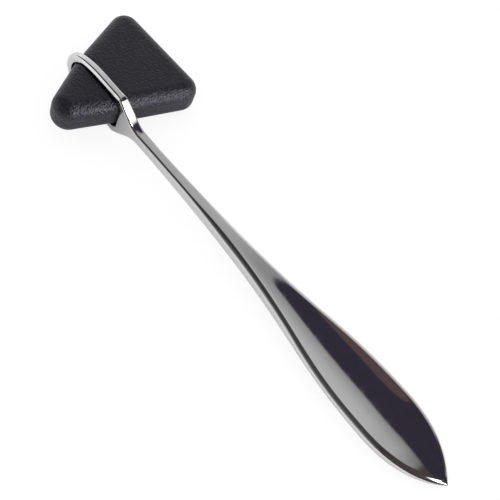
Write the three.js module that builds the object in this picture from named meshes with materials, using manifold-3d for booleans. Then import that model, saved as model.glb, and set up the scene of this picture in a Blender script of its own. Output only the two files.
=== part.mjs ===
// A reflex hammer: a one-piece plated metal handle that carries a solid rubber head.
// The handle is a loop, a forked yoke, a slim stem and a broad, pointed paddle in one casting.
// The head is a flat rubber triangle with a moulded waist groove, in which the loop sits.
//
// Units are millimetres. Until the last lines, X runs along the handle from the loop to the
// point, Y across the head from its narrow striking end to its wide striking edge, and Z through
// the head's thickness, with zero at the middle of the loop, where the handle's axis meets the head.

import * as THREE from 'three';
import { mergeVertices } from 'three/addons/utils/BufferGeometryUtils.js';
import Module from 'manifold-3d';

// Driving dimensions.
const LENGTH = 195; // loop's far end to the handle's point
const LOOP_END = -17.2; // X of the loop's far end
const POINT_END = LOOP_END + LENGTH;

const HEAD_THICKNESS = 14;
const HEAD_EDGE_RADIUS = 5.2; // round between the flat faces and the sides
const HEAD_BASE_Y = 30; // the wide striking edge
const HEAD_APEX_Y = -29.5; // where the two long sides would meet, before the end is rounded
const HEAD_HALF_BASE = 23.3; // half of the wide edge, before its corners are rounded
const HEAD_HALF_WAIST = 12.8; // half of the width where the loop crosses
const HEAD_BASE_RADIUS = 5.6;
const HEAD_APEX_RADIUS = 6.2;
const HEAD_BASE_SHIFT = 0.6; // the soft head sits a little bowed and turned in its loop
const HEAD_WAIST_SHIFT = -0.7;
const HEAD_APEX_SHIFT = -0.4;
const HEAD_TURN = 2; // degrees, in the plane of its faces

const LOOP_WIDTH = 3.5; // along Y
const LOOP_FLAT = 1.3; // width of the flat strip along the loop's outer face
const LOOP_HALF_HEIGHT = 9.4; // Z of the loop's outer faces
const LOOP_BAR = 3.1; // metal between the loop's outer and inner faces
const LOOP_SHOULDER = 1.5; // how far the loop's outer edges slope down beside the flat strip
const LOOP_FULLNESS = 2.3; // the loop's end is an oval with this power: 2 is an ellipse
const SEAT_X = 12; // where the yoke's inner end bears on the head
const SEAT_RADIUS = 2.6;
const YOKE_START = 8;
const YOKE_WIDTH = 3.6; // along Y
const YOKE_EDGE = 0.6; // round on the yoke's edges
const KNEE_X = 10.6; // where the legs turn in towards the stem
const KNEE_RADIUS = 3.2;
const NECK_X = 19.8; // where the two slopes would meet the stem
const NECK_RADIUS = 9;
const NECK_HALF_THICKNESS = 2.2;
const YOKE_END = 26; // the yoke runs this far inside the stem
const CLEARANCE = 0.3; // between the rubber and the metal

const STEM_START = 18;
const STEM_HALF_WIDTH = 2.25;
const PADDLE_HALF_WIDTH = 12;
const PADDLE_WIDEST = 148; // X of the paddle's greatest width
const PADDLE_CROWN = 0.3; // how far the broad faces swell at the paddle's middle
const STEM_EDGE = 0.9; // round between the broad faces and the narrow sides, near the yoke
const PADDLE_EDGE = 2; // and along the paddle
const EDGE_CHANGE = [48, 72]; // X over which one edge turns into the other
const STEM_SLIMMING = 0.35; // the stem is this much slimmer where its edges are crisper
const TIP_EDGE_GROWTH = 0.8; // how much wider the round gets across the broad faces at the point

const ARC_STEPS = 7;
const OVAL_STEPS = 48;
const EDGE_STEPS = 5;
const SECTION_CORNER_STEPS = 6;
const SECTION_FACE_STEPS = 4;
const STATIONS_TO_WIDEST = 44;
const STATIONS_TO_POINT = 20;

const wasm = await Module();
wasm.setup();

const chrome = new THREE.MeshStandardMaterial({ color: 0xcfd1d4, roughness: 0.08, metalness: 1 });
const rubber = new THREE.MeshStandardMaterial({ color: 0x2b2b2f, roughness: 0.62, metalness: 0 });

// A closed geometry as a solid that can be joined and cut.
function toSolid(geometry) {
  const bare = geometry.clone();
  bare.deleteAttribute('normal');
  bare.deleteAttribute('uv');
  const merged = mergeVertices(bare, 1e-4);
  const mesh = new wasm.Mesh({
    numProp: 3,
    vertProperties: Float32Array.from(merged.attributes.position.array),
    triVerts: Uint32Array.from(merged.index.array),
  });
  return new wasm.Manifold(mesh);
}

// A solid as a geometry with face normals.
function toGeometry(solid) {
  const mesh = solid.getMesh();
  const geometry = new THREE.BufferGeometry();
  geometry.setAttribute('position', new THREE.BufferAttribute(Float32Array.from(mesh.vertProperties), 3));
  geometry.setIndex(new THREE.BufferAttribute(Uint32Array.from(mesh.triVerts), 1));
  geometry.computeVertexNormals();
  return geometry;
}

// Rounds the corner at b, between a and c, as the next stretch of a path.
function addCorner(path, a, b, c, radius) {
  const back = a.clone().sub(b).normalize();
  const ahead = c.clone().sub(b).normalize();
  const half = Math.acos(back.dot(ahead)) / 2;
  const start = b.clone().addScaledVector(back, radius / Math.tan(half));
  const end = b.clone().addScaledVector(ahead, radius / Math.tan(half));
  const centre = b.clone().addScaledVector(back.clone().add(ahead).normalize(), radius / Math.sin(half));
  const from = Math.atan2(start.y - centre.y, start.x - centre.x);
  const to = Math.atan2(end.y - centre.y, end.x - centre.x);
  path.absarc(centre.x, centre.y, radius, from, to, back.cross(ahead) > 0);
}

// Carries a path through corners given as [x, y, radius]; radius 0 leaves a corner sharp.
function addCorners(path, before, corners, after) {
  const stops = [before, ...corners, after].map(([x, y]) => new THREE.Vector2(x, y));
  corners.forEach(([x, y, radius], i) => {
    if (radius > 0) addCorner(path, stops[i], stops[i + 1], stops[i + 2], radius);
    else path.lineTo(x, y);
  });
}

// The head before its groove is cut: a triangle with slightly bowed sides and round edges.
function makeHeadBlank() {
  const corners = [
    [-HEAD_HALF_WAIST + HEAD_WAIST_SHIFT, 0, 0],
    [HEAD_APEX_SHIFT, HEAD_APEX_Y, HEAD_APEX_RADIUS],
    [HEAD_HALF_WAIST + HEAD_WAIST_SHIFT, 0, 0],
    [HEAD_HALF_BASE + HEAD_BASE_SHIFT, HEAD_BASE_Y, HEAD_BASE_RADIUS],
    [-HEAD_HALF_BASE + HEAD_BASE_SHIFT, HEAD_BASE_Y, HEAD_BASE_RADIUS],
  ];
  const outline = new THREE.Shape();
  outline.moveTo(...corners[0].slice(0, 2));
  addCorners(outline, corners[0], corners.slice(1), corners[0]);
  outline.closePath();
  const geometry = new THREE.ExtrudeGeometry(outline, {
    depth: HEAD_THICKNESS - 2 * HEAD_EDGE_RADIUS,
    bevelThickness: HEAD_EDGE_RADIUS,
    bevelSize: HEAD_EDGE_RADIUS,
    bevelOffset: -HEAD_EDGE_RADIUS,
    bevelSegments: EDGE_STEPS,
    curveSegments: ARC_STEPS,
  });
  geometry.translate(0, 0, HEAD_EDGE_RADIUS - HEAD_THICKNESS / 2);
  geometry.rotateZ(THREE.MathUtils.degToRad(HEAD_TURN));
  return toSolid(geometry);
}

// The opening inside the loop, in the X-Z plane, smaller all round by inset.
function loopOpening(inset) {
  const half = LOOP_HALF_HEIGHT - LOOP_BAR - inset;
  const centre = LOOP_END + LOOP_BAR + inset + half;
  const opening = new THREE.Shape();
  opening.absarc(centre, 0, half, Math.PI / 2, 1.5 * Math.PI, false);
  addCorners(opening, [centre, -half], [
    [SEAT_X - inset, -half, SEAT_RADIUS],
    [SEAT_X - inset, half, SEAT_RADIUS],
  ], [centre, half]);
  opening.closePath();
  return opening;
}

// Closes an outline round the yoke: knee, slope, neck and back again, from x at z = -high.
function addYoke(outline, x, high, low) {
  addCorners(outline, [x, -high], [
    [KNEE_X, -high, KNEE_RADIUS],
    [NECK_X, -low, NECK_RADIUS],
    [YOKE_END, -low, 0],
    [YOKE_END, low, 0],
    [NECK_X, low, NECK_RADIUS],
    [KNEE_X, high, KNEE_RADIUS],
  ], [x, high]);
  outline.closePath();
  return outline;
}

// The loop's outer outline, in the X-Z plane, with an oval end.
function loopOutline() {
  const power = 2 / LOOP_FULLNESS;
  const outline = new THREE.Shape();
  outline.moveTo(0, LOOP_HALF_HEIGHT);
  for (let k = 1; k <= OVAL_STEPS; k += 1) {
    const angle = Math.PI * (0.5 + k / OVAL_STEPS);
    const rise = Math.sin(angle);
    outline.lineTo(
      LOOP_END * Math.max(0, -Math.cos(angle)) ** power,
      LOOP_HALF_HEIGHT * Math.sign(rise) * Math.abs(rise) ** power,
    );
  }
  return addYoke(outline, 0, LOOP_HALF_HEIGHT, NECK_HALF_THICKNESS - 0.3);
}

function yokeOutline() {
  const outline = new THREE.Shape();
  outline.moveTo(YOKE_START, LOOP_HALF_HEIGHT);
  outline.lineTo(YOKE_START, -LOOP_HALF_HEIGHT);
  return addYoke(outline, YOKE_START, LOOP_HALF_HEIGHT, NECK_HALF_THICKNESS);
}

// An X-Z outline made solid across Y and centred on the handle's axis. Its edges are rounded
// over edgeY across Y and over edgeIn towards the inside of the outline.
function acrossY(outline, width, edgeY = 0, edgeIn = edgeY) {
  const geometry = new THREE.ExtrudeGeometry(outline, {
    depth: width - 2 * edgeY,
    bevelEnabled: edgeY > 0,
    bevelThickness: edgeY,
    bevelSize: edgeIn,
    bevelOffset: -edgeIn,
    bevelSegments: 3,
    curveSegments: 2 * ARC_STEPS,
  });
  geometry.translate(0, 0, edgeY - width / 2);
  geometry.rotateX(Math.PI / 2);
  return toSolid(geometry);
}

// The loop has a narrow flat strip between sloping shoulders; the yoke is squarer and wider.
function makeLoop() {
  const bar = acrossY(loopOutline(), LOOP_WIDTH, (LOOP_WIDTH - LOOP_FLAT) / 2, LOOP_SHOULDER);
  const yoke = acrossY(yokeOutline(), YOKE_WIDTH, YOKE_EDGE);
  return bar.add(yoke).subtract(acrossY(loopOpening(0), 2 * YOKE_WIDTH));
}

// Half thickness of the handle at x: fuller along the stem, thin at the point.
function halfThickness(x) {
  const stations = [
    [STEM_START, NECK_HALF_THICKNESS],
    [78, 2.97],
    [132, 2.05],
    [156, 2.3],
    [POINT_END, 0.4],
  ];
  const i = Math.max(1, stations.findIndex(([at], k) => k > 0 && x <= at));
  const [x0, d0] = stations[i - 1];
  const [x1, d1] = stations[i];
  const t = (x - x0) / (x1 - x0);
  const ease = i === stations.length - 1 ? t ** 2.6 : (1 - Math.cos(Math.PI * t)) / 2;
  return d0 + (d1 - d0) * ease;
}

// Points along one side of the handle seen from above: X and half width.
function handleSide() {
  const swell = new THREE.CubicBezierCurve(
    new THREE.Vector2(STEM_START, STEM_HALF_WIDTH),
    new THREE.Vector2(112, 1.8),
    new THREE.Vector2(103.5, PADDLE_HALF_WIDTH),
    new THREE.Vector2(PADDLE_WIDEST, PADDLE_HALF_WIDTH),
  );
  const ogive = new THREE.CubicBezierCurve(
    new THREE.Vector2(PADDLE_WIDEST, PADDLE_HALF_WIDTH),
    new THREE.Vector2(164.5, PADDLE_HALF_WIDTH),
    new THREE.Vector2(173.3, 5.5),
    new THREE.Vector2(POINT_END, 0.12),
  );
  const side = [...swell.getPoints(STATIONS_TO_WIDEST), ...ogive.getPoints(STATIONS_TO_POINT).slice(1)];
  side.forEach((p) => {
    p.y -= STEM_SLIMMING * (1 - THREE.MathUtils.smoothstep(p.x, ...EDGE_CHANGE));
  });
  return side;
}

// One quarter of the handle's cross-section at x, from the middle of the narrow side (+Y) to the
// middle of the broad face (+Z), which swells a little between the rounded corners.
function quarterSection(x, halfWidth, half) {
  const edge = THREE.MathUtils.lerp(
    STEM_EDGE,
    PADDLE_EDGE,
    THREE.MathUtils.smoothstep(x, ...EDGE_CHANGE),
  );
  const growth = 1 + TIP_EDGE_GROWTH * THREE.MathUtils.smoothstep(x, PADDLE_WIDEST, POINT_END - 6);
  const reachY = Math.min(edge * growth, 0.93 * halfWidth);
  const reachZ = Math.min(edge, 0.93 * half);
  const crown = PADDLE_CROWN * (halfWidth / PADDLE_HALF_WIDTH) ** 2;
  const points = [new THREE.Vector2(halfWidth, 0)];
  for (let k = 0; k <= SECTION_CORNER_STEPS; k += 1) {
    const angle = (Math.PI / 2) * (k / SECTION_CORNER_STEPS);
    points.push(new THREE.Vector2(
      halfWidth - reachY * (1 - Math.cos(angle)),
      half - reachZ * (1 - Math.sin(angle)),
    ));
  }
  const flat = halfWidth - reachY;
  for (let k = 1; k <= SECTION_FACE_STEPS; k += 1) {
    const y = flat * (1 - k / SECTION_FACE_STEPS);
    points.push(new THREE.Vector2(y, half + crown * (1 - (y / flat) ** 2)));
  }
  return points;
}

// The whole cross-section, counter-clockwise seen from the point.
function section(x, halfWidth, half) {
  const quarter = quarterSection(x, halfWidth, half);
  const upperLeft = quarter.slice(0, -1).reverse().map((p) => new THREE.Vector2(-p.x, p.y));
  const upper = [...quarter, ...upperLeft];
  const lower = upper.slice(1, -1).map((p) => new THREE.Vector2(-p.x, -p.y));
  return [...upper, ...lower];
}

// The stem and paddle: sections carried along X and capped at both ends.
function makeStem() {
  const rings = handleSide().map((at) => (
    section(at.x, at.y, halfThickness(at.x)).map((p) => [at.x, p.x, p.y])
  ));
  const size = rings[0].length;
  const last = (rings.length - 1) * size;
  const index = [];
  for (let k = 0; k < size; k += 1) {
    const next = (k + 1) % size;
    for (let low = 0; low < last; low += size) {
      index.push(low + k, low + next, low + size + next);
      index.push(low + k, low + size + next, low + size + k);
    }
    index.push(last + size, next, k);
    index.push(last + size + 1, last + k, last + next);
  }
  const ends = [[STEM_START, 0, 0], [POINT_END, 0, 0]];
  const geometry = new THREE.BufferGeometry();
  const points = [...rings.flat(), ...ends].flat();
  geometry.setAttribute('position', new THREE.Float32BufferAttribute(points, 3));
  geometry.setIndex(index);
  return toSolid(geometry);
}

function addPiece(group, name, solid, material) {
  const mesh = new THREE.Mesh(toGeometry(solid), material);
  mesh.name = name;
  group.add(mesh);
}

const loop = makeLoop();
const handle = loop.add(makeStem());
const keptOfHead = acrossY(loopOpening(CLEARANCE), 2 * YOKE_WIDTH);
const around = toSolid(new THREE.BoxGeometry(2 * LENGTH, YOKE_WIDTH + 2 * CLEARANCE, LENGTH));
const head = makeHeadBlank().subtract(around.subtract(keptOfHead));

const group = new THREE.Group();
addPiece(group, 'handle', handle, chrome);
addPiece(group, 'rubber_head', head, rubber);

// The finished part lies on its back: its origin is the middle of its footprint.
const box = new THREE.Box3().setFromObject(group);
const middle = box.getCenter(new THREE.Vector3());
group.position.set(-middle.x, -middle.y, -box.min.z);

export default group;
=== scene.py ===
"""A reflex hammer on a pale studio floor: a pebbled rubber head held in the loop of a plated handle."""

import math

import bmesh
import bpy
import numpy as np
from mathutils import Matrix, Vector


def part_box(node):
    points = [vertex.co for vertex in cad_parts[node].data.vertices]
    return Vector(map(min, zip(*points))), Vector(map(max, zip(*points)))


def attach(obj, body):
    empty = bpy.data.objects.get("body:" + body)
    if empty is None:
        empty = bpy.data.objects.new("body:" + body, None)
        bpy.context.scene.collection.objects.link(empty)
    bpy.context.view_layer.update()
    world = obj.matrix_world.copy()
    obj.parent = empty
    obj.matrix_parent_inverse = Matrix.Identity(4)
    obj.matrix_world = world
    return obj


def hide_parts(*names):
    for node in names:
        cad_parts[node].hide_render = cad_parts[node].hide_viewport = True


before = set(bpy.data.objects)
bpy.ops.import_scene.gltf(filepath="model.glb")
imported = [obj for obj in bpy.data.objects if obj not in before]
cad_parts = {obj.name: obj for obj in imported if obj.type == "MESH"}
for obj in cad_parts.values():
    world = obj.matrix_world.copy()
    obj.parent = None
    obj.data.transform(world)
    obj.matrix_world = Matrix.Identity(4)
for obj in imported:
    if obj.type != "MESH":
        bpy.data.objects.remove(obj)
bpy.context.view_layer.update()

MM = 0.001
handle_lo, handle_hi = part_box("handle")
head_lo, head_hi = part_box("rubber_head")

# Shape numbers are millimetres in the hammer's own axes: X from the loop's middle to the handle's
# point, Y from the head's narrow end to its wide edge, Z out of its front face.
LOOP_END = -17.2
ORIGIN = Vector((
    handle_lo[0] - LOOP_END * MM,
    (handle_lo[1] + handle_hi[1]) / 2,
    (handle_lo[2] + handle_hi[2]) / 2,
))
POINT_END = LOOP_END + (handle_hi[0] - handle_lo[0]) / MM
LOOP_HALF = (handle_hi[2] - handle_lo[2]) / 2 / MM
LOOP_BAR = 3.1  # metal between the loop's outer and inner faces
LOOP_HALF_WIDTH = 1.75
LOOP_FLAT = 0.62  # half of the flat strip along the outer face
LOOP_SHOULDER = 1.311  # the side ends this far below the outer face
LOOP_SIDE_ROUND = 0.5
LOOP_FACE_ROUND = 0.78
LOOP_FULLNESS = 2.3  # power of the oval at the loop's end; 2 is an ellipse
SHOULDER_FADE = (7.5, 13.5)  # X over which the loop's shoulder turns into a plain round
YOKE_HALF_WIDTH = 1.8
YOKE_EDGE = 0.6
SEAT_X = 12.0  # where the yoke's inner end bears on the rubber
SEAT_RADIUS = 2.6
WEB_SINK = 0.06  # the web starts this far under the legs' outer faces
WEB_FADE = (SEAT_X + 0.5, SEAT_X + 1.3)  # X over which it comes level with them
LEG_SINK = 0.12  # further on the legs lie this far under the web's faces
LEG_NARROWING = 0.04  # and are narrower by this share
LEG_FADE = (SEAT_X + 1.0, SEAT_X + 2.0)
KNEE_X = 10.6  # where the legs turn in towards the stem
KNEE_RADIUS = 3.2
NECK_X = 19.8  # where the slopes would meet the stem
NECK_HALF = 2.2
NECK_BLEND = 2.45
STEM_START = 18
STEM_HALF_WIDTH = 2.25
STEM_EDGE = 0.9
STEM_SLIMMING = 0.35
EDGE_LIMIT = 0.93  # the largest share of a half section that an edge may take
PADDLE_EDGE = 2.0
PADDLE_HALF = (handle_hi[1] - handle_lo[1]) / 2 / MM
PADDLE_WIDEST = 148
PADDLE_CROWN = 0.3
EDGE_CHANGE = (48, 72)  # X over which the stem's edge turns into the paddle's
POINT_START = 156  # where the handle begins to thin towards its point
POINT_HALF = 0.4
POINT_EDGE_GROWTH = 0.2
HEAD_HALF = (head_hi[2] - head_lo[2]) / 2 / MM
HEAD_EDGE = 5.2
HEAD_TURN = math.radians(2.0)
HEAD_SHRINK = 0.03  # keeps the finely rounded corners inside the part's box
CLEARANCE = 0.3  # between the rubber and the loop's inside
GROOVE_WALL = YOKE_HALF_WIDTH + 0.3
GROOVE_LIP = 0.45
FLOOR_REACH = 3000


# ---------------------------------------------------------------- mesh helpers
def smooth(x, lo, hi):
    """Rises from 0 to 1 between lo and hi with soft ends."""
    t = np.clip((x - lo) / (hi - lo), 0, 1)
    return t * t * (3 - 2 * t)


def to_row(points):
    """Hammer axes in millimetres to the row frame in metres."""
    return np.asarray(points, float) * MM + np.array(ORIGIN)


def add_mesh(name, points, faces, material):
    """A new object whose four-sided faces are shaded smooth."""
    mesh = bpy.data.meshes.new(name)
    mesh.from_pydata([tuple(p) for p in points], [], [tuple(int(i) for i in f) for f in faces])
    mesh.polygons.foreach_set("use_smooth", [len(f) == 4 for f in faces])
    mesh.materials.append(material)
    mesh.update()
    obj = bpy.data.objects.new(name, mesh)
    bpy.context.scene.collection.objects.link(obj)
    return obj


def tube(rings):
    """Points and faces of quads between rings of equal length, with a fan on each end."""
    rings = np.asarray(rings, float)
    count, size = rings.shape[:2]
    points = rings.reshape(-1, 3)
    k = np.arange(size)
    nxt = (k + 1) % size
    faces = []
    for r in range(count - 1):
        a = r * size
        faces.extend(zip(a + k, a + nxt, a + size + nxt, a + size + k))
    first, last = count * size, count * size + 1
    faces.extend((first, n, i) for i, n in zip(k, nxt))
    base = (count - 1) * size
    faces.extend((last, base + i, base + n) for i, n in zip(k, nxt))
    points = np.vstack([points, rings[0].mean(0), rings[-1].mean(0)])
    return points, faces


# ---------------------------------------------------------------- the plated handle
def half_height(x):
    """Half of the handle's thickness from the yoke to the point."""
    stretch = np.interp(x, [20, 78, 132, POINT_START], [0, 1, 2, 3])
    level = np.array([NECK_HALF, 2.97, 2.05, 2.3])
    i = np.minimum(stretch.astype(int), 2)
    t = (1 - np.cos(np.pi * (stretch - i))) / 2
    stem = level[i] + (level[i + 1] - level[i]) * t
    tip = np.clip((x - POINT_START) / (POINT_END - POINT_START), 0, 1) ** 2.6
    stem = stem + (POINT_HALF - stem) * tip
    fall = (LOOP_HALF - NECK_HALF) / (NECK_X - KNEE_X)
    slope = LOOP_HALF - (x - KNEE_X) * fall
    near = np.clip(NECK_BLEND - np.abs(slope - stem), 0, None) / NECK_BLEND
    return np.maximum(slope, stem) + near * near * NECK_BLEND / 4


def bezier(a, b, c, d):
    """Points along a cubic curve from a to d, drawn towards b and c."""
    t = np.linspace(0, 1, 120)[:, None]
    a, b, c, d = (np.array(p, float) for p in (a, b, c, d))
    return (1 - t) ** 3 * a + 3 * (1 - t) ** 2 * t * b + 3 * (1 - t) * t * t * c + t ** 3 * d


def half_width(x):
    """Half of the handle's width from the yoke to the point."""
    widest = (PADDLE_WIDEST, PADDLE_HALF)
    swell = bezier((STEM_START, STEM_HALF_WIDTH), (112, 1.8), (103.5, PADDLE_HALF), widest)
    ogive = bezier(widest, (164.5, PADDLE_HALF), (173.3, 5.5), (POINT_END, 0.12))
    side = np.vstack([swell, ogive[1:]])
    w = np.interp(x, side[:, 0], side[:, 1]) - STEM_SLIMMING * (1 - smooth(x, *EDGE_CHANGE))
    yoke = YOKE_HALF_WIDTH + 0.1 * smooth(x, 12, 17)
    return yoke + (w - yoke) * smooth(x, 18, 26)


def shoulder_profile(h):
    """The loop's edge, 14 points: a small round, a straight shoulder and a round to the flat strip."""
    foot = h - LOOP_SHOULDER
    points = [(LOOP_HALF_WIDTH - LOOP_SIDE_ROUND * (1 - math.cos(a)), foot + LOOP_SIDE_ROUND * math.sin(a))
              for a in np.radians([0, 8, 16, 24, 30])]
    face = [(LOOP_FLAT + LOOP_FACE_ROUND * math.cos(a), h - LOOP_FACE_ROUND * (1 - math.sin(a)))
            for a in np.radians([30, 40, 50, 60, 70, 80, 90])]
    lower, upper = np.array(points[-1]), np.array(face[0])
    straight = [lower + (upper - lower) * t for t in (1 / 3, 2 / 3)]
    return np.array(points + straight + face)


def edge_profile(x, w, h, reach_y, reach_z):
    """The edge between a narrow side and an outer face, 14 points from the side up to the face.

    Round the loop it is a sloping shoulder beside a narrow flat strip; past the knee it turns
    into a plain round.
    """
    plain = np.array([(w - reach_y * (1 - math.cos(a)), h - reach_z * (1 - math.sin(a)))
                      for a in np.radians(np.linspace(0, 90, 14))])
    shoulder = shoulder_profile(h)
    return shoulder + (plain - shoulder) * smooth(x, *SHOULDER_FADE)


def stem_section(x, w, h, reach_y, reach_z, crown):
    """A rounded bar with slightly swelling broad faces, counter-clockwise from the +Y side."""
    reach_y, reach_z = min(reach_y, EDGE_LIMIT * w), min(reach_z, EDGE_LIMIT * h)
    edge = edge_profile(x, w, h, reach_y, reach_z)
    rim = [(edge[0, 0], z) for z in edge[0, 1] * np.array([0, 0.5, 0.9])]
    top = edge[-1, 0]
    across = top * np.array([0.97, 0.9, 0.78, 0.64, 0.5, 0.36, 0.2, 0])
    face = [(y, h + crown * (1 - (y / top) ** 2)) for y in across]
    quarter = rim + [tuple(p) for p in edge] + face
    upper = quarter + [(-y, z) for y, z in reversed(quarter[:-1])]
    lower = [(-y, -z) for y, z in upper[1:-1]]
    return np.array(upper + lower)


def bar_section(x, h):
    """The loop's bar, h each way from its middle, with the outer face at +Z and the inner at -Z."""
    edge = edge_profile(x, half_width(np.array([x]))[0], h, YOKE_EDGE, YOKE_EDGE)
    side = edge[0, 0]
    inner_round = [(side - 0.3, -h), (side - 0.15, 0.04 - h), (side - 0.04, 0.15 - h)]
    half = [(0.0, -h), (side - 0.6, -h)] + inner_round
    half += [(side, z) for z in np.linspace(0.3 - h, edge[0, 1] - 0.05, 8)]
    half += [tuple(p) for p in edge]
    half += [(edge[-1, 0] * k, h) for k in (0.8, 0.5, 0.2, 0)]
    left = [(-y, z) for y, z in reversed(half[1:-1])]
    return np.array(half + left)


def make_stem():
    """The yoke's web, the stem and the paddle. The web starts just inside the legs' outer faces."""
    xs = np.concatenate([
        np.arange(SEAT_X + 0.15, 27, 0.2),
        np.arange(27, 160, 0.9),
        160 + (POINT_END - 160) * np.sin(np.linspace(0, np.pi / 2, 44)),
    ])
    rings = []
    heights = half_height(xs) - WEB_SINK * (1 - smooth(xs, *WEB_FADE))
    for x, w, h in zip(xs, half_width(xs), heights):
        edge = YOKE_EDGE + (STEM_EDGE - YOKE_EDGE) * smooth(x, 15, 19)
        edge += (PADDLE_EDGE - STEM_EDGE) * smooth(x, *EDGE_CHANGE)
        growth = 1 + POINT_EDGE_GROWTH * smooth(x, PADDLE_WIDEST, POINT_END - 6)
        ring = stem_section(x, w, h, edge * growth, edge, PADDLE_CROWN * (w / PADDLE_HALF) ** 2)
        rings.append(np.c_[np.full(len(ring), x), ring])
    first = rings[0].copy()
    for x, inset in ((0.05, 0.02), (0.0, 0.08)):  # softens the web's inner end
        ring = first.copy()
        ring[:, 0] = SEAT_X + x
        ring[:, 1] *= 1 - inset / YOKE_HALF_WIDTH
        ring[:, 2] *= 1 - inset / half_height(np.array([SEAT_X]))[0]
        rings.insert(0, ring)
    return tube(rings)


def arc(cx, cz, radius, a0, a1, count):
    """Points round a centre, between two angles in degrees."""
    a = np.radians(np.linspace(a0, a1, count))
    return np.c_[cx + radius * np.cos(a), cz + radius * np.sin(a)]


def leg_paths():
    """Matching points along the loop's outer and inner outlines, from the toe to inside the web."""
    inner_half = LOOP_HALF - LOOP_BAR
    inner_centre = LOOP_END + LOOP_BAR + inner_half
    fall = math.atan((LOOP_HALF - NECK_HALF) / (NECK_X - KNEE_X))
    knee_start = KNEE_X - KNEE_RADIUS * math.tan(fall / 2)
    angle = np.linspace(0, np.pi / 2, 70)
    power = 2 / LOOP_FULLNESS
    toe = np.c_[LOOP_END * np.cos(angle) ** power, LOOP_HALF * np.sin(angle) ** power]
    straight = np.linspace(0, knee_start, 30)[1:-1]
    knee = arc(knee_start, LOOP_HALF - KNEE_RADIUS, KNEE_RADIUS, 90, 90 - math.degrees(fall), 14)
    down = np.linspace(knee[-1][0], SEAT_X + 2.6, 17)[1:]
    sunk = LEG_SINK * smooth(down, *LEG_FADE)
    outer = np.vstack([
        toe,
        np.c_[straight, np.full(len(straight), LOOP_HALF)],
        knee,
        np.c_[down, half_height(down) - sunk],
    ])
    level = np.c_[np.linspace(inner_centre, SEAT_X - SEAT_RADIUS, 900), np.full(900, inner_half)]
    inside = np.vstack([
        arc(inner_centre, 0, inner_half, 180, 90, 900),
        level,
        arc(SEAT_X - SEAT_RADIUS, inner_half - SEAT_RADIUS, SEAT_RADIUS, 90, 20, 400),
    ])
    nearest = np.argmin(np.linalg.norm(outer[:, None] - inside[None], axis=2), axis=1)
    return outer, inside[nearest]


def make_loop():
    """The loop: its two legs are one bar bent round the toe."""
    outer, inner = leg_paths()
    flip = np.array([1, -1])
    outer = np.vstack([outer[:0:-1] * flip, outer])
    inner = np.vstack([inner[:0:-1] * flip, inner])
    rings = []
    for o, i in zip(outer, inner):
        thick = np.linalg.norm(o - i)
        ring = bar_section(o[0], thick / 2)
        ring[:, 0] *= 1 - LEG_NARROWING * smooth(o[0], *LEG_FADE)
        along = (o - i) / thick
        xz = (o + i) / 2 + ring[:, 1:2] * along
        rings.append(np.c_[xz[:, 0], ring[:, 0], xz[:, 1]])
    return tube(rings)


def make_handle(material):
    """The stem and the loop as one plated casting."""
    a_points, a_faces = make_stem()
    b_points, b_faces = make_loop()
    faces = a_faces + [tuple(i + len(a_points) for i in f) for f in b_faces]
    obj = add_mesh("handle_casting", to_row(np.vstack([a_points, b_points])), faces, material)
    recalculate_normals(obj)
    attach(obj, "root")
    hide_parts("handle")
    return obj


def recalculate_normals(obj):
    """Turns every face outwards."""
    bm = bmesh.new()
    bm.from_mesh(obj.data)
    bmesh.ops.recalc_face_normals(bm, faces=bm.faces)
    bm.to_mesh(obj.data)
    bm.free()


# ---------------------------------------------------------------- the rubber head
def rounded_outline(corners, step=0.5):
    """Points and outward normals round a polygon given as x, y, radius, counter-clockwise."""
    corner = np.array([c[:2] for c in corners], float)
    points, normals = [], []

    def add_straight(end, normal):
        """Fills the side from the last point to the next round."""
        start = points[-1]
        pieces = max(2, int(np.linalg.norm(end - start) / step))
        for t in np.linspace(0, 1, pieces + 1)[1:-1]:
            points.append(start + (end - start) * t)
            normals.append(normal)

    for k, (_, _, radius) in enumerate(corners):
        before = corner[k - 1] - corner[k]
        after = corner[(k + 1) % len(corners)] - corner[k]
        before /= np.linalg.norm(before)
        after /= np.linalg.norm(after)
        half = math.acos(np.clip(before @ after, -1, 1)) / 2
        middle = (before + after) / np.linalg.norm(before + after)
        centre = corner[k] + middle * radius / math.sin(half)
        n0 = np.array([-before[1], before[0]])
        n1 = np.array([after[1], -after[0]])
        turn = math.pi - 2 * half
        steps = max(2, int(radius * turn / step * 2))
        if points:
            add_straight(centre + n0 * radius, n0)
        for t in np.linspace(0, 1, steps + 1):
            n = n0 * math.sin((1 - t) * turn) + n1 * math.sin(t * turn)
            n /= np.linalg.norm(n)
            points.append(centre + n * radius)
            normals.append(n)
    add_straight(points[0], normals[0])
    return np.array(points), np.array(normals)


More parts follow.
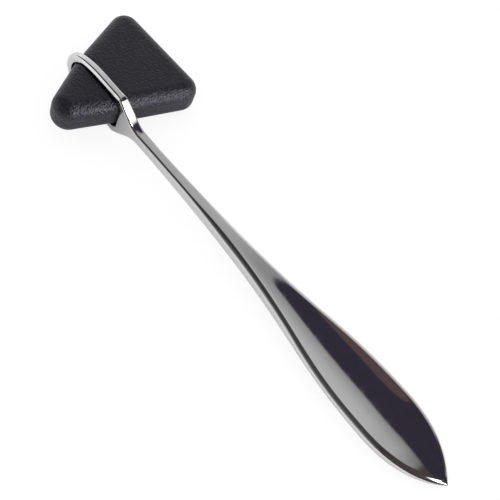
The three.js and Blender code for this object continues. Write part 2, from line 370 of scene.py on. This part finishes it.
def head_surface():
    """The head before its groove: nested outlines from the middle of one face to the other."""
    outline, normal = rounded_outline([
        (-0.4, -29.5, 6.2),
        (12.1, 0, 40),
        (23.9, 30, 5.6),
        (-22.7, 30, 5.6),
        (-13.5, 0, 40),
    ])
    outline = outline - normal * HEAD_SHRINK
    inner = outline - normal * HEAD_EDGE
    centre = np.array([0.2, 8.0])
    rings = []
    for scale in np.linspace(0.02, 1, 60)[:-1]:
        rings.append(np.c_[centre + (inner - centre) * scale, np.full(len(inner), HEAD_HALF)])
    for phi in np.radians(np.linspace(90, 0, 28)):
        offset = HEAD_EDGE * (1 - math.cos(phi))
        z = HEAD_HALF - HEAD_EDGE + HEAD_EDGE * math.sin(phi)
        rings.append(np.c_[outline - normal * offset, np.full(len(outline), z)])
    middle = [rings[-1] * np.array([1, 1, s]) for s in np.linspace(1, -1, 9)[1:-1]]
    back = [r * np.array([1, 1, -1]) for r in reversed(rings)]
    points, faces = tube(rings + middle + back)
    c, s = math.cos(HEAD_TURN), math.sin(HEAD_TURN)
    turned = points.copy()
    turned[:, 0] = points[:, 0] * c - points[:, 1] * s
    turned[:, 1] = points[:, 0] * s + points[:, 1] * c
    return turned, faces


def groove_floor(x, z):
    """The nearest place to x, z inside the loop's inner outline, less the clearance."""
    half = LOOP_HALF - LOOP_BAR - CLEARANCE
    toe_centre = LOOP_END + LOOP_BAR + half + CLEARANCE
    seat = SEAT_X - CLEARANCE
    if x < toe_centre:
        r = math.hypot(x - toe_centre, z)
        if r > half:
            return toe_centre + (x - toe_centre) * half / r, z * half / r
        return x, z
    if x > seat - SEAT_RADIUS and abs(z) > half - SEAT_RADIUS:
        cx, cz = seat - SEAT_RADIUS, math.copysign(half - SEAT_RADIUS, z)
        r = math.hypot(x - cx, z - cz)
        if r > SEAT_RADIUS:
            return cx + (x - cx) * SEAT_RADIUS / r, cz + (z - cz) * SEAT_RADIUS / r
        return x, z
    return min(x, seat), max(-half, min(half, z))


def cut_groove(bm):
    """Presses the waist in to the loop's inner outline, with softly rounded lips."""
    for offset in (-0.35, -0.12, 0, 0.05, 0.15, 0.3, GROOVE_LIP):
        for side in (-1, 1):
            bmesh.ops.bisect_plane(
                bm, geom=bm.verts[:] + bm.edges[:] + bm.faces[:], dist=1e-5,
                plane_co=(0, side * (GROOVE_WALL + offset), 0), plane_no=(0, 1, 0))
    for v in bm.verts:
        x, y, z = v.co
        past = abs(y) - GROOVE_WALL
        if past >= GROOVE_LIP:
            continue
        tx, tz = groove_floor(x, z)
        if past > 0:
            t = past / GROOVE_LIP
            reach = (1 - math.sqrt(1 - (1 - t) ** 2)) * GROOVE_LIP
            depth = math.hypot(tx - x, tz - z)
            if depth > 1e-6:
                k = min(1.0, reach / depth)
                v.co = (x + (tx - x) * k, y, z + (tz - z) * k)
        else:
            v.co = (tx, y, tz)


def make_head(material):
    """The rubber head with the groove that the loop sits in."""
    points, faces = head_surface()
    obj = add_mesh("head_rubber", points, faces, material)
    bm = bmesh.new()
    bm.from_mesh(obj.data)
    bmesh.ops.recalc_face_normals(bm, faces=bm.faces)
    cut_groove(bm)
    for v in bm.verts:
        v.co = v.co * MM + ORIGIN
    for f in bm.faces:
        f.smooth = True
    bm.to_mesh(obj.data)
    bm.free()
    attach(obj, "root")
    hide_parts("rubber_head")
    return obj


# ---------------------------------------------------------------- materials
class Nodes:
    """A short way to write a node tree.

    A keyword names an input socket, with _ for a space, or numbers it: i0 is the first.
    """

    def __init__(self, tree):
        self.tree = tree
        tree.nodes.clear()

    def add(self, kind, settings=None, **inputs):
        node = self.tree.nodes.new(kind)
        for key, value in (settings or {}).items():
            setattr(node, key, value)
        for key, value in inputs.items():
            number = key[1:]
            socket = node.inputs[int(number) if number.isdigit() else key.replace("_", " ")]
            if isinstance(value, bpy.types.NodeSocket):
                self.tree.links.new(value, socket)
            else:
                socket.default_value = value
        return node

    def math(self, operation, a, b=0.0, c=0.0):
        return self.add("ShaderNodeMath", {"operation": operation}, i0=a, i1=b, i2=c).outputs[0]

    def mix(self, factor, a, b, blend="MIX"):
        settings = {"data_type": "RGBA", "blend_type": blend}
        return self.add("ShaderNodeMix", settings, i0=factor, i6=a, i7=b).outputs[2]

    def dim(self, colour, value):
        """Multiplies a colour by a number."""
        return self.mix(1.0, colour, value, "MULTIPLY")

    def grey(self, value):
        return self.dim((1, 1, 1, 1), value)

    def product(self, first, *others):
        for other in others:
            first = self.math("MULTIPLY", first, other)
        return first

    def mix_shaders(self, factor, a, b):
        return self.add("ShaderNodeMixShader", i0=factor, i1=a.outputs[0], i2=b.outputs[0])

    def colours(self, turn, stops):
        """A soft gradient over an angle in degrees, mapped from -180..180 to 0..1."""
        node = self.add("ShaderNodeValToRGB", Fac=turn)
        ramp = node.color_ramp
        while len(ramp.elements) < len(stops):
            ramp.elements.new(1.0)
        for element, (angle, value) in zip(ramp.elements, stops):
            element.position = (angle + 180) / 360
            element.color = (value, value, value, 1)
        return node.outputs[0]

    def ramp(self, value, lo, hi, to_lo=0.0, to_hi=1.0, kind="SMOOTHSTEP"):
        """Turns lo..hi into to_lo..to_hi and holds the end values beyond."""
        settings = {"interpolation_type": kind}
        node = self.add("ShaderNodeMapRange", settings, i0=value, i1=lo, i2=hi, i3=to_lo, i4=to_hi)
        return node.outputs[0]


def new_material(name):
    """An empty node material and a writer for its tree."""
    material = bpy.data.materials.new(name)
    material.use_nodes = True
    return material, Nodes(material.node_tree)


def chrome_material():
    """Bright plating with a faint haze and a very slight waviness."""
    material, n = new_material("bright_plating")
    place = n.add("ShaderNodeTexCoord").outputs["Object"]
    waves = n.add("ShaderNodeTexNoise", Vector=place, Scale=90.0, Detail=2.0).outputs["Fac"]
    haze = n.add("ShaderNodeTexNoise", Vector=place, Scale=260.0, Detail=6.0, Roughness=0.65).outputs["Fac"]
    tint = n.add("ShaderNodeTexNoise", Vector=place, Scale=38.0, Detail=3.0).outputs["Fac"]
    colour = n.mix(tint, (0.62, 0.615, 0.625, 1), (0.66, 0.65, 0.655, 1))
    rough = n.ramp(haze, 0.35, 0.75, 0.035, 0.065)
    bump = n.add("ShaderNodeBump", Strength=0.01, Distance=0.00003, Height=waves).outputs[0]
    shader = n.add("ShaderNodeBsdfPrincipled", Base_Color=colour, Metallic=1.0, Roughness=rough,
                   Normal=bump)
    n.add("ShaderNodeOutputMaterial", Surface=shader.outputs[0])
    return material


def rubber_material():
    """Blue-black rubber with a fine pebbled grain of uneven cells."""
    material, n = new_material("pebbled_rubber")
    place = n.add("ShaderNodeTexCoord").outputs["Object"]
    wobble = n.add("ShaderNodeTexNoise", Vector=place, Scale=500.0, Detail=2.0).outputs["Color"]
    shift = n.add("ShaderNodeVectorMath", {"operation": "MULTIPLY_ADD"},
                  i0=wobble, i1=(0.0006, 0.0006, 0.0006), i2=place).outputs[0]
    cells = n.add("ShaderNodeTexVoronoi", {"feature": "SMOOTH_F1"}, Vector=shift, Scale=1450.0)
    pebble = n.ramp(cells.outputs["Distance"], 0.0, 0.75, 1, 0, "LINEAR")
    fine = n.add("ShaderNodeTexNoise", Vector=place, Scale=2600.0, Detail=4.0).outputs["Fac"]
    height = n.math("MULTIPLY_ADD", fine, 0.15, pebble)
    tone = n.add("ShaderNodeTexNoise", Vector=place, Scale=120.0, Detail=5.0).outputs["Fac"]
    colour = n.mix(tone, (0.0060, 0.0057, 0.0105, 1), (0.0100, 0.0094, 0.0150, 1))
    rough = n.ramp(fine, 0.3, 0.7, 0.34, 0.50)
    bump = n.add("ShaderNodeBump", Strength=1.0, Distance=0.00018, Height=height).outputs[0]
    shader = n.add("ShaderNodeBsdfPrincipled", Base_Color=colour, Roughness=rough, Normal=bump,
                   Specular_IOR_Level=0.4, Specular_Tint=(0.94, 0.93, 1.0, 1))
    n.add("ShaderNodeOutputMaterial", Surface=shader.outputs[0])
    return material


# ---------------------------------------------------------------- studio
# The mirrored studio is drawn over the direction that a ray leaves in: x, y, z, and its lean in
# degrees from straight up, positive towards the head's narrow end.
def soft_light(n, x, lean):
    """Pale low down, dark overhead, and fading towards the handle's point."""
    turn = n.ramp(lean, -180, 180, 0, 1, "LINEAR")
    past_toe = n.colours(turn, [
        (-95, 0.95), (-60, 0.85), (-40, 0.68), (-31, 0.60), (-16, 0.42), (-10, 0.10), (-5, 0.06),
        (35, 0.05), (53, 0.09), (65, 0.155), (77, 0.27), (90, 0.5),
    ])
    past_stem = n.colours(turn, [
        (-95, 0.95), (-60, 0.8), (-45, 0.45), (-31, 0.38), (-28.5, 0.44), (-25, 0.68),
        (-21, 0.76), (-15, 0.7), (-11, 0.13), (-5, 0.095),
        (35, 0.08), (53, 0.11), (65, 0.155), (77, 0.27), (90, 0.5),
    ])
    light = n.mix(n.ramp(x, -0.27, -0.13), past_toe, past_stem)
    light = n.dim(light, n.ramp(x, -0.41, -0.34, 1.25, 0.95))
    light = n.dim(light, n.ramp(x, -0.06, 0.04, 1.0, 0.85))
    light = n.dim(light, n.ramp(x, 0.05, 0.2, 1.0, 0.65))
    return n.mix(n.ramp(x, 0.20, 0.28), light, (0.085, 0.070, 0.070, 1))


def add_lamps(n, light, x, y, z, lean):
    """A strip past the loop's toe, a wide lamp past the point, and a bright lamp there in two parts."""
    strip = n.product(n.ramp(x, -0.35, -0.31, 1, 0), n.ramp(lean, 58, 68))
    light = n.mix(strip, light, n.grey(n.ramp(x, -0.395, -0.35, 1.2, 0.85)))
    wide = n.product(n.ramp(x, 0.44, 0.74), n.ramp(z, -0.06, 0.04), n.ramp(lean, 12, 24, 1, 0))
    light = n.mix(wide, light, n.grey(n.ramp(y, 0.22, 0.44, 0.12, 1.9)))
    low = n.product(n.ramp(x, 0.60, 0.74), n.ramp(z, 0.34, 0.45, 1, 0))
    high = n.product(n.ramp(x, 0.48, 0.58), n.ramp(x, 0.71, 0.79, 1, 0),
                     n.ramp(z, 0.74, 0.84, 1, 0), n.ramp(y, 0.0, 0.08))
    bright = n.product(n.math("MAXIMUM", low, high), n.ramp(y, -0.25, -0.12), n.ramp(y, 0.25, 0.38, 1, 0))
    return n.mix(bright, light, (12.5, 12.5, 13.0, 1))


def beside_flag(n, x, lean):
    """0 on the dark flag and 1 past its four edges."""
    slanted = n.math("ADD", lean, n.ramp(x, -0.13, 0.0, 0.3, -1.4))
    above = n.ramp(slanted, -30.3, -29.5)
    bow = n.math("POWER", n.math("ADD", lean, 32.5), 2.0)
    left = n.ramp(n.math("MULTIPLY_ADD", bow, -0.0019, x), -0.126, -0.120, 1, 0)
    right = n.ramp(x, 0.48, 0.60)
    below = n.ramp(n.math("SUBTRACT", lean, n.ramp(x, -0.03, 0.15, 0, -30)), -46, -42, 1, 0)
    return n.math("MAXIMUM", n.math("MAXIMUM", above, left), n.math("MAXIMUM", below, right))


def flag_colour(n, x, lean):
    """Blue-black, with a small warmer oval near the flag's left edge."""
    across = n.math("DIVIDE", n.math("ADD", x, 0.034), 0.041)
    along = n.math("DIVIDE", n.math("MULTIPLY_ADD", x, 20.0, n.math("ADD", lean, 38.0)), 1.3)
    oval = n.math("ADD", n.math("POWER", across, 2.0), n.math("POWER", along, 2.0))
    return n.mix(n.ramp(oval, 0.7, 1.1, 1, 0), (0.040, 0.036, 0.056, 1), (0.12, 0.082, 0.08, 1))


def make_world():
    """Plain white light all round, except that shiny faces mirror the lamps and the dark flag."""
    world = bpy.data.worlds.new("studio")
    bpy.context.scene.world = world
    world.use_nodes = True
    n = Nodes(world.node_tree)
    ray = n.add("ShaderNodeTexCoord").outputs["Generated"]
    x, y, z = n.add("ShaderNodeSeparateXYZ", Vector=ray).outputs
    lean = n.math("DEGREES", n.math("ARCTAN2", n.math("MULTIPLY", y, -1.0), z))
    light = add_lamps(n, soft_light(n, x, lean), x, y, z, lean)
    light = n.mix(beside_flag(n, x, lean), flag_colour(n, x, lean), light)
    mirrored = n.add("ShaderNodeBackground", Strength=1.0, Color=light)
    plain = n.add("ShaderNodeBackground", Strength=1.15, Color=(1, 1, 1, 1))
    is_mirrored = n.add("ShaderNodeLightPath").outputs["Is Glossy Ray"]
    mix = n.mix_shaders(is_mirrored, plain, mirrored)
    n.add("ShaderNodeOutputWorld", Surface=mix.outputs[0])


def make_floor():
    """A wide pale floor, tilted to touch the loop's rear leg, the paddle's back and the wide edge."""
    material, n = new_material("pale_floor")
    place = n.add("ShaderNodeTexCoord").outputs["Object"]
    grain = n.add("ShaderNodeTexNoise", Vector=place, Scale=30.0, Detail=4.0).outputs["Fac"]
    rough = n.ramp(grain, 0.3, 0.7, 0.8, 0.9)
    shader = n.add("ShaderNodeBsdfPrincipled", Base_Color=(0.9, 0.9, 0.9, 1), Roughness=rough)
    glow = n.add("ShaderNodeEmission", Strength=1.02)
    lit = n.math("MULTIPLY", n.add("ShaderNodeLightPath").outputs["Is Camera Ray"], 0.85)
    mix = n.mix_shaders(lit, shader, glow)
    n.add("ShaderNodeOutputMaterial", Surface=mix.outputs[0])
    leg = Vector((9, 0, -LOOP_HALF))
    paddle = Vector((163, 0, -half_height(np.array([163.0]))[0] - PADDLE_CROWN))
    edge = Vector((10, 25, -HEAD_HALF))
    up = (paddle - leg).cross(edge - leg).normalized()
    centre = leg + (paddle - leg) / 2 - up * 0.1
    turn = up.to_track_quat("Z", "X").to_matrix()
    corners = [centre + turn @ Vector((x * FLOOR_REACH, y * FLOOR_REACH, 0))
               for x, y in ((-1, -1), (1, -1), (1, 1), (-1, 1))]
    floor = add_mesh("floor", to_row([tuple(c) for c in corners]), [(0, 1, 2, 3)], material)


def make_camera():
    """Looks down on the front face, rolled so that the handle runs to the lower right."""
    place = Vector((143.1, -179.0, 303.0))
    back = Vector((0.18231, -0.50668, 0.84264)).normalized()
    roll = math.radians(31.6)
    level = Vector((0, 0, 1)).cross(back).normalized()
    right = Matrix.Rotation(roll, 3, back) @ level
    up = back.cross(right)
    data = bpy.data.cameras.new("camera")
    data.lens = 76.3
    data.sensor_width = 36
    data.shift_x, data.shift_y = -0.001, 0.001
    data.clip_start, data.clip_end = 0.01, 20
    camera = bpy.data.objects.new("camera", data)
    turn = Matrix((right, up, back)).transposed().to_4x4()
    camera.matrix_world = Matrix.Translation(place * MM + ORIGIN) @ turn
    bpy.context.scene.collection.objects.link(camera)
    bpy.context.scene.camera = camera


make_camera()
make_world()
make_handle(chrome_material())
make_head(rubber_material())
make_floor()
bpy.context.scene.view_settings.view_transform = "Standard"
